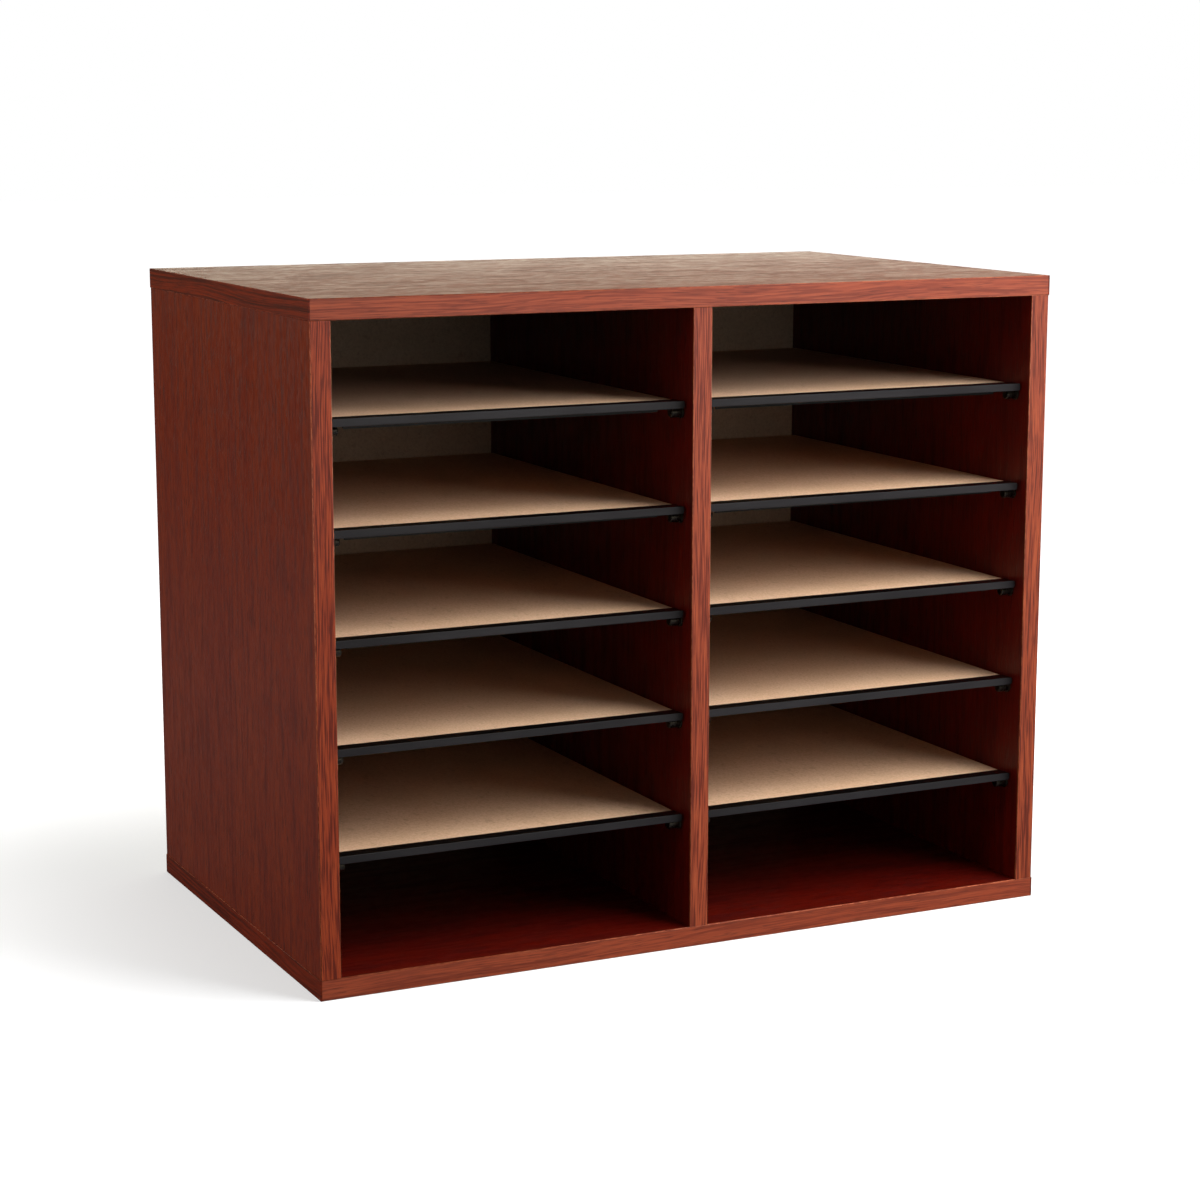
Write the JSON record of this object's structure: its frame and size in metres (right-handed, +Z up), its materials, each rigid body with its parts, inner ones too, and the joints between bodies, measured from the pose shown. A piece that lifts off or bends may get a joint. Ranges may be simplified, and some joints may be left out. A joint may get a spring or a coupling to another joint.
{
  "type": "literature organizer",
  "caption": "Desktop literature organizer: a cherry-laminate case with two columns of flat compartments on removable hardboard shelves with black front mouldings.",
  "frame": {"origin": "middle of the footprint, on the surface that the organizer stands on", "axes": "+X across the front to the right, +Y from the open front to the back, +Z up"},
  "size_m": [0.4952, 0.3048, 0.4064],
  "materials": {
    "cherry_laminate": "satin printed cherry laminate on particle board",
    "cherry_edge_band": "satin printed cherry edge banding",
    "hardboard_back": "raw hardboard",
    "hardboard_shelf": "smooth tan hardboard",
    "black_moulding": "satin black extruded plastic",
    "plated_steel": "bright nickel plate",
    "dowel_wood": "raw birch",
    "nail_steel": "bright wire"
  },
  "bodies": {
    "case": {"top_panel": "cherry_laminate", "bottom_panel": "cherry_laminate", "left_side_panel": "cherry_laminate", "right_side_panel": "cherry_laminate", "centre_partition": "cherry_laminate", "back_panel": "hardboard_back", "top_front_edge_band": "cherry_edge_band", "bottom_front_edge_band": "cherry_edge_band", "left_side_front_edge_band": "cherry_edge_band", "right_side_front_edge_band": "cherry_edge_band", "partition_front_edge_band": "cherry_edge_band", "top_left_end_band": "cherry_edge_band", "top_right_end_band": "cherry_edge_band", "bottom_left_end_band": "cherry_edge_band", "bottom_right_end_band": "cherry_edge_band", "left_side_pins": "plated_steel", "partition_left_pins": "plated_steel", "partition_right_pins": "plated_steel", "right_side_pins": "plated_steel", "top_dowels": "dowel_wood", "bottom_dowels": "dowel_wood", "back_nails": "nail_steel"},
    "left_shelf_1": {"left_shelf_1_board": "hardboard_shelf", "left_shelf_1_moulding": "black_moulding"},
    "left_shelf_2": {"left_shelf_2_board": "hardboard_shelf", "left_shelf_2_moulding": "black_moulding"},
    "left_shelf_3": {"left_shelf_3_board": "hardboard_shelf", "left_shelf_3_moulding": "black_moulding"},
    "left_shelf_4": {"left_shelf_4_board": "hardboard_shelf", "left_shelf_4_moulding": "black_moulding"},
    "left_shelf_5": {"left_shelf_5_board": "hardboard_shelf", "left_shelf_5_moulding": "black_moulding"},
    "right_shelf_1": {"right_shelf_1_board": "hardboard_shelf", "right_shelf_1_moulding": "black_moulding"},
    "right_shelf_2": {"right_shelf_2_board": "hardboard_shelf", "right_shelf_2_moulding": "black_moulding"},
    "right_shelf_3": {"right_shelf_3_board": "hardboard_shelf", "right_shelf_3_moulding": "black_moulding"},
    "right_shelf_4": {"right_shelf_4_board": "hardboard_shelf", "right_shelf_4_moulding": "black_moulding"},
    "right_shelf_5": {"right_shelf_5_board": "hardboard_shelf", "right_shelf_5_moulding": "black_moulding"}
  },
  "joints": [
    {"name": "left_shelf_1_slide", "type": "slide", "parent": "case", "child": "left_shelf_1", "axis": [0, -1, 0], "range_m": [0, 0.3]},
    {"name": "left_shelf_2_slide", "type": "slide", "parent": "case", "child": "left_shelf_2", "axis": [0, -1, 0], "range_m": [0, 0.3]},
    {"name": "left_shelf_3_slide", "type": "slide", "parent": "case", "child": "left_shelf_3", "axis": [0, -1, 0], "range_m": [0, 0.3]},
    {"name": "left_shelf_4_slide", "type": "slide", "parent": "case", "child": "left_shelf_4", "axis": [0, -1, 0], "range_m": [0, 0.3]},
    {"name": "left_shelf_5_slide", "type": "slide", "parent": "case", "child": "left_shelf_5", "axis": [0, -1, 0], "range_m": [0, 0.3]},
    {"name": "right_shelf_1_slide", "type": "slide", "parent": "case", "child": "right_shelf_1", "axis": [0, -1, 0], "range_m": [0, 0.3]},
    {"name": "right_shelf_2_slide", "type": "slide", "parent": "case", "child": "right_shelf_2", "axis": [0, -1, 0], "range_m": [0, 0.3]},
    {"name": "right_shelf_3_slide", "type": "slide", "parent": "case", "child": "right_shelf_3", "axis": [0, -1, 0], "range_m": [0, 0.3]},
    {"name": "right_shelf_4_slide", "type": "slide", "parent": "case", "child": "right_shelf_4", "axis": [0, -1, 0], "range_m": [0, 0.3]},
    {"name": "right_shelf_5_slide", "type": "slide", "parent": "case", "child": "right_shelf_5", "axis": [0, -1, 0], "range_m": [0, 0.3]}
  ]
}
